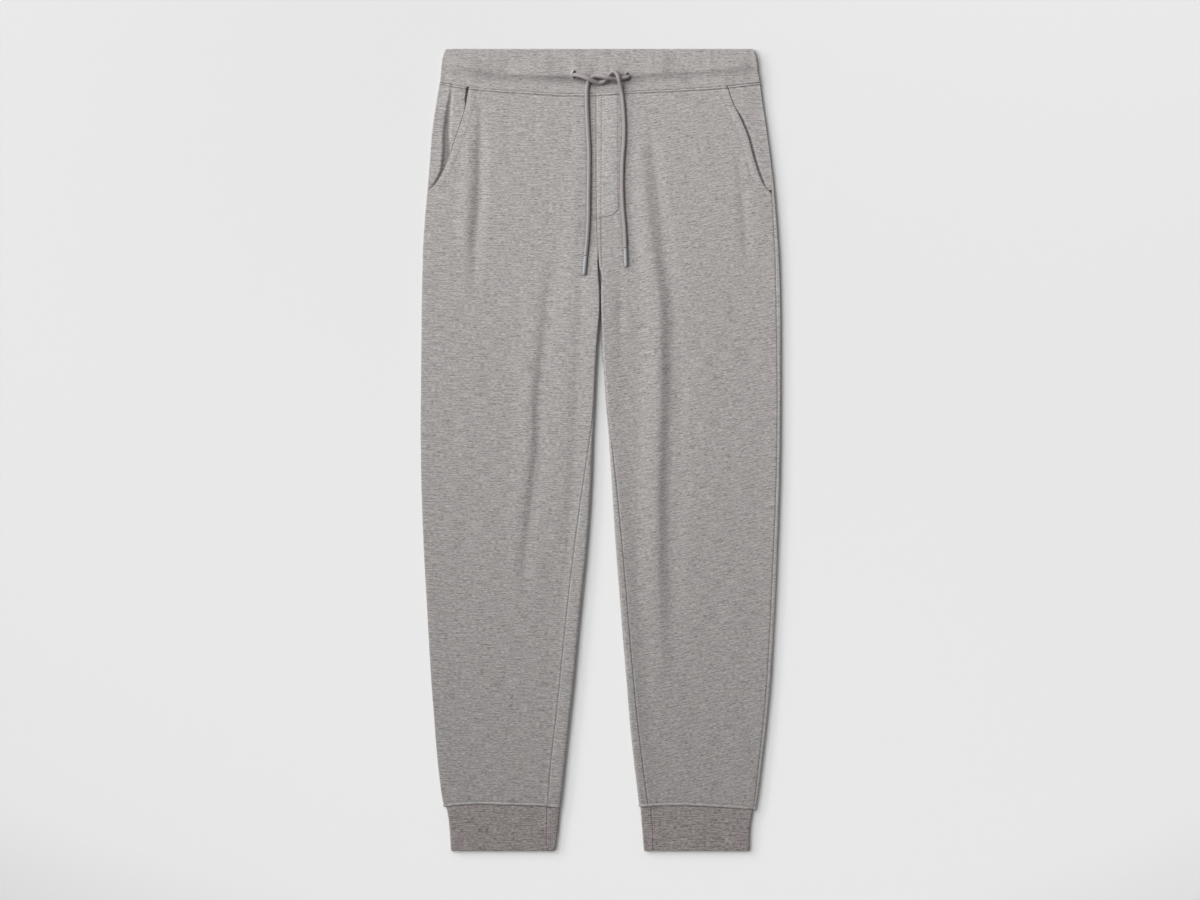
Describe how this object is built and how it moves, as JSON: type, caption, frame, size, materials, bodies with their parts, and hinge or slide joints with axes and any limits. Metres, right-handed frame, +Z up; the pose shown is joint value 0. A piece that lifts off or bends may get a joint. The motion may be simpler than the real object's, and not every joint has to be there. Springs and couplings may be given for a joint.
{
  "type": "jogger sweatpants",
  "caption": "Grey melange fleece joggers laid flat, with elastic drawcord waist, slant pockets, mock fly stitch and ribbed hem cuffs.",
  "frame": {"origin": "centre of the lying garment's bounding box, on the surface it lies on", "axes": "+Y toward the waist, +X toward the wearer's left, +Z up from the surface"},
  "size_m": [0.4662, 1.038, 0.019],
  "materials": {
    "fleece": "grey melange brushed-back jersey, matt",
    "band": "grey melange jersey over elastic, matt",
    "cuff": "fine rib knit, slightly darker melange",
    "cord": "round knitted cord, matt",
    "cord_tip": "dipped cord end, slight sheen"
  },
  "bodies": {
    "root": {"front_right": "fleece", "front_left": "fleece", "back_right": "fleece", "back_left": "fleece", "waistband": "band", "cuff_right": "cuff", "cuff_left": "cuff", "pocket_facing_right": "fleece", "pocket_facing_left": "fleece", "drawcord_right_exit": "cord", "drawcord_left_exit": "cord", "cord_tip_right_exit": "cord_tip", "cord_tip_left_exit": "cord_tip"}
  },
  "joints": []
}
